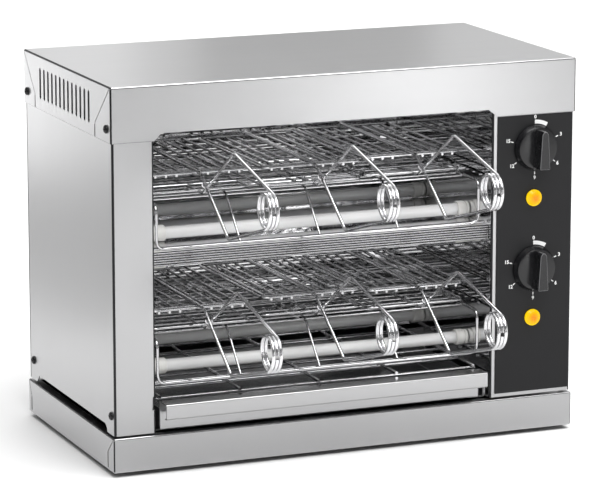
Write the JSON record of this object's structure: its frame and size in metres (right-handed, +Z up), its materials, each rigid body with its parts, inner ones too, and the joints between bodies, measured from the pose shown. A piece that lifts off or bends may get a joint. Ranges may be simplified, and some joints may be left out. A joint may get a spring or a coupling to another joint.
{
  "type": "two-deck quartz tong toaster",
  "caption": "Free-standing stainless toaster oven: wire tongs slide into two mirrored decks between quartz tubes, with a timer and lamp per deck and a pull-out crumb tray.",
  "frame": {"origin": "middle of the bounding box on the surface the feet stand on", "axes": "+Z up; the mouth and the tong handles face -Y; +X to the right seen from the front"},
  "size_m": [0.475, 0.421, 0.365],
  "materials": {
    "satin_steel": "satin stainless sheet",
    "bright_steel": "bright annealed stainless sheet",
    "chromed_wire": "bright plated wire",
    "quartz_tube": "frosted quartz with ceramic end caps",
    "black_knob": "fine matt",
    "panel_overlay": "fine matt",
    "amber_lens": "clear gloss",
    "black_screw": "blackened",
    "rubber_foot": "matt",
    "moulded_body": "matt",
    "steel_shaft": "turned"
  },
  "bodies": {
    "chassis": {"base_plinth": "satin_steel", "foot_front_left": "rubber_foot", "foot_rear_left": "rubber_foot", "foot_front_right": "rubber_foot", "foot_rear_right": "rubber_foot", "left_side_panel": "satin_steel", "right_side_panel": "satin_steel", "rear_panel": "satin_steel", "top_cover": "satin_steel", "screw_left_cover_front": "black_screw", "screw_left_cover_rear": "black_screw", "screw_left_base_front": "black_screw", "screw_left_base_rear": "black_screw", "screw_right_cover_front": "black_screw", "screw_right_cover_rear": "black_screw", "screw_right_base_front": "black_screw", "screw_right_base_rear": "black_screw", "cable_gland": "black_knob", "terminal_block": "moulded_body", "left_inner_wall": "bright_steel", "right_inner_wall": "bright_steel", "inner_back_wall": "bright_steel", "ceiling_reflector": "bright_steel", "deck_divider": "bright_steel", "tray_runner_left": "satin_steel", "tray_runner_right": "satin_steel", "tray_guard_grid": "chromed_wire", "control_overlay": "panel_overlay", "timer_lower": "moulded_body", "pilot_lamp_lower": "amber_lens", "element_lower_bottom_front": "quartz_tube", "element_lower_top_front": "quartz_tube", "element_lower_bottom_rear": "quartz_tube", "element_lower_top_rear": "quartz_tube", "tong_rack_lower": "chromed_wire", "timer_upper": "moulded_body", "pilot_lamp_upper": "amber_lens", "element_upper_bottom_front": "quartz_tube", "element_upper_top_front": "quartz_tube", "element_upper_bottom_rear": "quartz_tube", "element_upper_top_rear": "quartz_tube", "tong_rack_upper": "chromed_wire"},
    "lower_timer_knob": {"timer_knob_lower": "black_knob", "timer_shaft_lower": "steel_shaft"},
    "upper_timer_knob": {"timer_knob_upper": "black_knob", "timer_shaft_upper": "steel_shaft"},
    "tray": {"crumb_tray": "satin_steel"},
    "lower_tong_1": {"tong_lower_1_lower_jaw": "chromed_wire"},
    "lower_tong_1_top": {"tong_lower_1_upper_jaw": "chromed_wire"},
    "lower_tong_2": {"tong_lower_2_lower_jaw": "chromed_wire"},
    "lower_tong_2_top": {"tong_lower_2_upper_jaw": "chromed_wire"},
    "lower_tong_3": {"tong_lower_3_lower_jaw": "chromed_wire"},
    "lower_tong_3_top": {"tong_lower_3_upper_jaw": "chromed_wire"},
    "upper_tong_1": {"tong_upper_1_lower_jaw": "chromed_wire"},
    "upper_tong_1_top": {"tong_upper_1_upper_jaw": "chromed_wire"},
    "upper_tong_2": {"tong_upper_2_lower_jaw": "chromed_wire"},
    "upper_tong_2_top": {"tong_upper_2_upper_jaw": "chromed_wire"},
    "upper_tong_3": {"tong_upper_3_lower_jaw": "chromed_wire"},
    "upper_tong_3_top": {"tong_upper_3_upper_jaw": "chromed_wire"}
  },
  "joints": [
    {"name": "lower_timer_turn", "type": "hinge", "parent": "chassis", "child": "lower_timer_knob", "pos_m": [0.1925, -0.04927, 0.1635], "axis": [0, 1, 0], "range_deg": [0, 285]},
    {"name": "upper_timer_turn", "type": "hinge", "parent": "chassis", "child": "upper_timer_knob", "pos_m": [0.1925, -0.04927, 0.281], "axis": [0, 1, 0], "range_deg": [0, 285]},
    {"name": "tray_pull", "type": "slide", "parent": "chassis", "child": "tray", "axis": [0, -1, 0], "range_m": [0, 0.2]},
    {"name": "lower_tong_1_pull", "type": "slide", "parent": "chassis", "child": "lower_tong_1", "axis": [0, -1, 0], "range_m": [0, 0.19]},
    {"name": "lower_tong_1_squeeze", "type": "hinge", "parent": "lower_tong_1", "child": "lower_tong_1_top", "pos_m": [-0.137, -0.19287, 0.1418], "axis": [1, 0, 0], "range_deg": [0, 5.5], "stiffness_Nm_per_rad": 8},
    {"name": "lower_tong_2_pull", "type": "slide", "parent": "chassis", "child": "lower_tong_2", "axis": [0, -1, 0], "range_m": [0, 0.19]},
    {"name": "lower_tong_2_squeeze", "type": "hinge", "parent": "lower_tong_2", "child": "lower_tong_2_top", "pos_m": [-0.023, -0.18864, 0.14665], "axis": [1, 0, 0], "range_deg": [0, 5.5], "stiffness_Nm_per_rad": 8},
    {"name": "lower_tong_3_pull", "type": "slide", "parent": "chassis", "child": "lower_tong_3", "axis": [0, -1, 0], "range_m": [0, 0.19]},
    {"name": "lower_tong_3_squeeze", "type": "hinge", "parent": "lower_tong_3", "child": "lower_tong_3_top", "pos_m": [0.085, -0.18887, 0.1418], "axis": [1, 0, 0], "range_deg": [0, 5.5], "stiffness_Nm_per_rad": 8},
    {"name": "upper_tong_1_pull", "type": "slide", "parent": "chassis", "child": "upper_tong_1", "axis": [0, -1, 0], "range_m": [0, 0.19]},
    {"name": "upper_tong_1_squeeze", "type": "hinge", "parent": "upper_tong_1", "child": "upper_tong_1_top", "pos_m": [-0.137, -0.18587, 0.2688], "axis": [1, 0, 0], "range_deg": [0, 5.5], "stiffness_Nm_per_rad": 8},
    {"name": "upper_tong_2_pull", "type": "slide", "parent": "chassis", "child": "upper_tong_2", "axis": [0, -1, 0], "range_m": [0, 0.19]},
    {"name": "upper_tong_2_squeeze", "type": "hinge", "parent": "upper_tong_2", "child": "upper_tong_2_top", "pos_m": [-0.023, -0.18987, 0.2688], "axis": [1, 0, 0], "range_deg": [0, 5.5], "stiffness_Nm_per_rad": 8},
    {"name": "upper_tong_3_pull", "type": "slide", "parent": "chassis", "child": "upper_tong_3", "axis": [0, -1, 0], "range_m": [0, 0.19]},
    {"name": "upper_tong_3_squeeze", "type": "hinge", "parent": "upper_tong_3", "child": "upper_tong_3_top", "pos_m": [0.085, -0.17787, 0.2688], "axis": [1, 0, 0], "range_deg": [0, 5.5], "stiffness_Nm_per_rad": 8}
  ]
}
